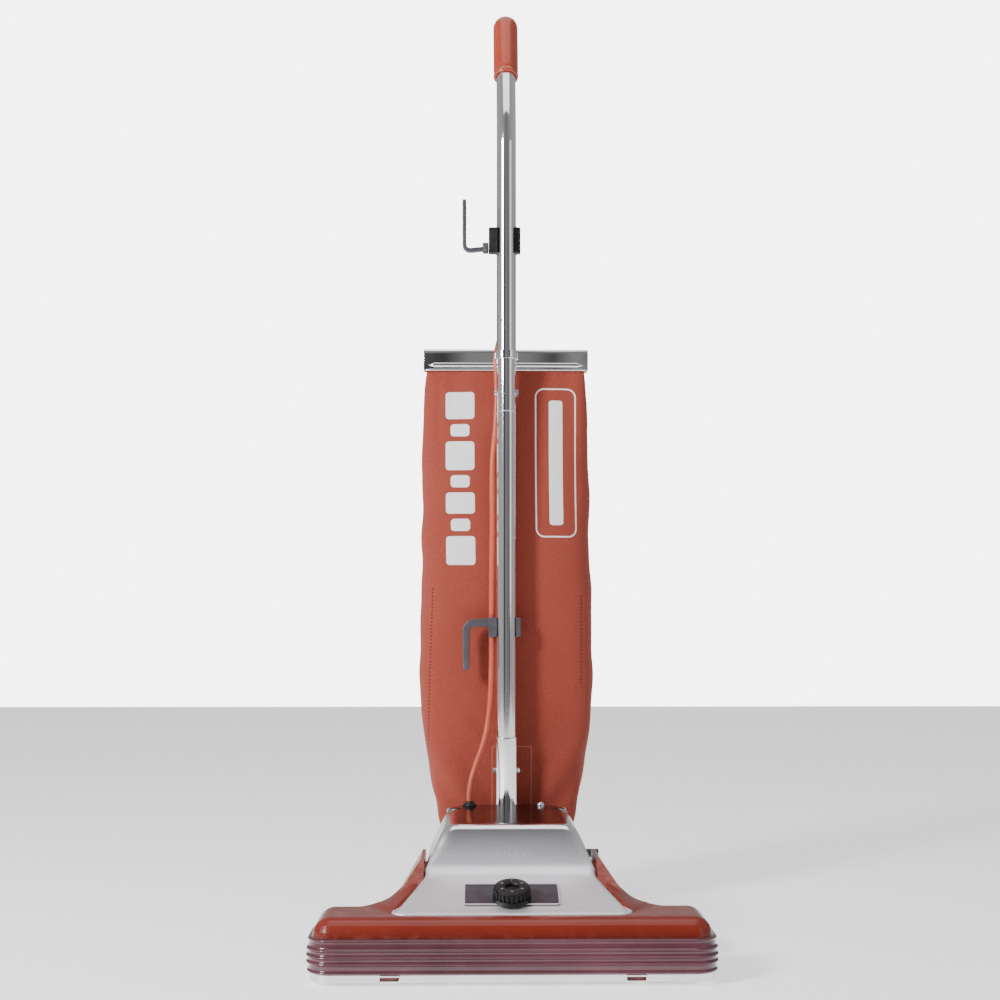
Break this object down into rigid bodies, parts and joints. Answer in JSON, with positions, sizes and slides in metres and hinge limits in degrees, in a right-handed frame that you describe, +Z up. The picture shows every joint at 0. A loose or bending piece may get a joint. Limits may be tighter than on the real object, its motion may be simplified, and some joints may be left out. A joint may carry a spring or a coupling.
{
  "type": "upright vacuum cleaner",
  "caption": "Commercial upright vacuum cleaner with a wide red nozzle, polished hood, chrome tube handle, hanging red cloth bag and a coiled mains cord.",
  "frame": {"origin": "on the floor, under the middle of the machine's box without its cord", "axes": "+Z up along the handle, -Y towards the brush nozzle at the front, +X to the right as seen from the front"},
  "size_m": [0.4605, 0.5122, 1.2104],
  "materials": {
    "red_casting": "gloss red paint",
    "bumper_rubber": "satin ribbed",
    "bright_metal": "polished",
    "plate_steel": "brushed",
    "motor_metal": "machined",
    "light_alloy": "cast",
    "copper_bars": "turned",
    "black_plastic": "moulded",
    "grey_plastic": "moulded",
    "grip_vinyl": "glossy",
    "bag_cloth": "woven",
    "belt_rubber": "matte",
    "wheel_tread": "matte",
    "bristle": "bristle",
    "cord_jacket": "smooth",
    "plug_body": "moulded"
  },
  "bodies": {
    "base": {"base_housing": "red_casting", "bumper": "bumper_rubber", "bottom_plate": "plate_steel", "hood": "bright_metal", "nameplate": "black_plastic", "hood_screws": "bright_metal", "cord_strain_relief": "black_plastic", "motor_field": "motor_metal", "motor_lower_bracket": "light_alloy", "motor_upper_bracket": "light_alloy", "motor_bearings": "motor_metal", "brush_holders": "black_plastic", "carbon_brushes": "black_plastic", "fan_chamber_cover": "light_alloy", "exhaust_port": "grey_plastic", "bag_collar": "black_plastic", "bag_neck": "bag_cloth", "drive_belt": "belt_rubber", "roll_end_caps": "black_plastic", "rear_axle": "plate_steel", "handle_pivot_pins": "plate_steel", "switch_body": "black_plastic", "carriage_pins": "plate_steel", "cord_run": "cord_jacket", "cord_coil": "cord_jacket", "cord_plug": "plug_body", "plug_blades": "plate_steel"},
    "latch_left": {"plate_latch_left": "plate_steel"},
    "latch_right": {"plate_latch_right": "plate_steel"},
    "switch": {"switch_pedal": "grey_plastic"},
    "release": {"release_pedal": "grey_plastic"},
    "rotor": {"armature_shaft": "plate_steel", "armature_core": "motor_metal", "commutator": "copper_bars", "fan": "light_alloy", "shaft_pulley": "plate_steel"},
    "roll": {"brush_roll": "light_alloy", "bristle_strips": "bristle"},
    "knob": {"height_knob": "black_plastic", "knob_shaft": "plate_steel"},
    "carriage": {"front_carriage": "plate_steel", "front_axle": "plate_steel"},
    "wheel_front_left": {"front_wheel_left": "wheel_tread"},
    "wheel_front_right": {"front_wheel_right": "wheel_tread"},
    "wheel_rear_left": {"rear_wheel_left": "wheel_tread"},
    "wheel_rear_right": {"rear_wheel_right": "wheel_tread"},
    "handle": {"handle_fork": "light_alloy", "fork_bushes": "copper_bars", "handle_socket": "bright_metal", "lower_tube": "bright_metal", "upper_tube": "bright_metal", "hand_grip": "grip_vinyl", "handle_bolts": "plate_steel", "handle_nuts": "plate_steel", "lower_cord_hook": "grey_plastic", "upper_hook_collar": "black_plastic", "bag": "bag_cloth", "bag_hanger": "bright_metal"},
    "hook": {"upper_cord_hook": "grey_plastic"},
    "clamp": {"bag_clamp": "bright_metal"}
  },
  "joints": [
    {"name": "handle_tilt", "type": "hinge", "parent": "base", "child": "handle", "pos_m": [0, 0.07, 0.085], "axis": [-1, 0, 0], "range_deg": [0, 60], "deforming": ["cord_run", "bag_neck"]},
    {"name": "release_press", "type": "hinge", "parent": "base", "child": "release", "pos_m": [-0.084, 0.076, 0.072], "axis": [-1, 0, 0], "range_deg": [0, 15], "stiffness_Nm_per_rad": 0.6},
    {"name": "switch_press", "type": "hinge", "parent": "base", "child": "switch", "pos_m": [0.084, 0.076, 0.072], "axis": [-1, 0, 0], "range_deg": [0, 15], "stiffness_Nm_per_rad": 0.6},
    {"name": "knob_turn", "type": "hinge", "parent": "base", "child": "knob", "pos_m": [0, -0.173, 0.0821], "axis": [0, -0.3194, 0.9476], "range_deg": [0, 300]},
    {"name": "carriage_tilt", "type": "hinge", "parent": "base", "child": "carriage", "pos_m": [0, -0.082, 0.02], "axis": [1, 0, 0], "range_deg": [0, 15]},
    {"name": "front_left_spin", "type": "hinge", "parent": "carriage", "child": "wheel_front_left", "pos_m": [-0.062, -0.122, 0.011], "axis": [1, 0, 0], "continuous": true},
    {"name": "front_right_spin", "type": "hinge", "parent": "carriage", "child": "wheel_front_right", "pos_m": [0.062, -0.122, 0.011], "axis": [1, 0, 0], "continuous": true},
    {"name": "rear_left_spin", "type": "hinge", "parent": "base", "child": "wheel_rear_left", "pos_m": [-0.064, 0.104, 0.02], "axis": [1, 0, 0], "continuous": true},
    {"name": "rear_right_spin", "type": "hinge", "parent": "base", "child": "wheel_rear_right", "pos_m": [0.064, 0.104, 0.02], "axis": [1, 0, 0], "continuous": true},
    {"name": "motor_spin", "type": "hinge", "parent": "base", "child": "rotor", "pos_m": [0, -0.02, 0.1], "axis": [0, 0, 1], "continuous": true},
    {"name": "roll_spin", "type": "hinge", "parent": "base", "child": "roll", "pos_m": [0, -0.187, 0.033], "axis": [1, 0, 0], "continuous": true},
    {"name": "left_latch_turn", "type": "hinge", "parent": "base", "child": "latch_left", "pos_m": [-0.133, -0.228, 0.004], "axis": [0, 0, 1], "range_deg": [0, 90]},
    {"name": "right_latch_turn", "type": "hinge", "parent": "base", "child": "latch_right", "pos_m": [0.133, -0.228, 0.004], "axis": [0, 0, 1], "range_deg": [0, 90]},
    {"name": "hook_swivel", "type": "hinge", "parent": "handle", "child": "hook", "pos_m": [-0.025, 0.112, 0.884], "axis": [1, 0, 0], "range_deg": [0, 180]},
    {"name": "clamp_slide", "type": "slide", "parent": "handle", "child": "clamp", "axis": [1, 0, 0], "range_m": [0, 0.225]}
  ],
  "couplings": [
    {"joint": "carriage_tilt", "follows": "knob_turn", "ratio": 0.05},
    {"joint": "roll_spin", "follows": "motor_spin", "ratio": 0.83}
  ]
}
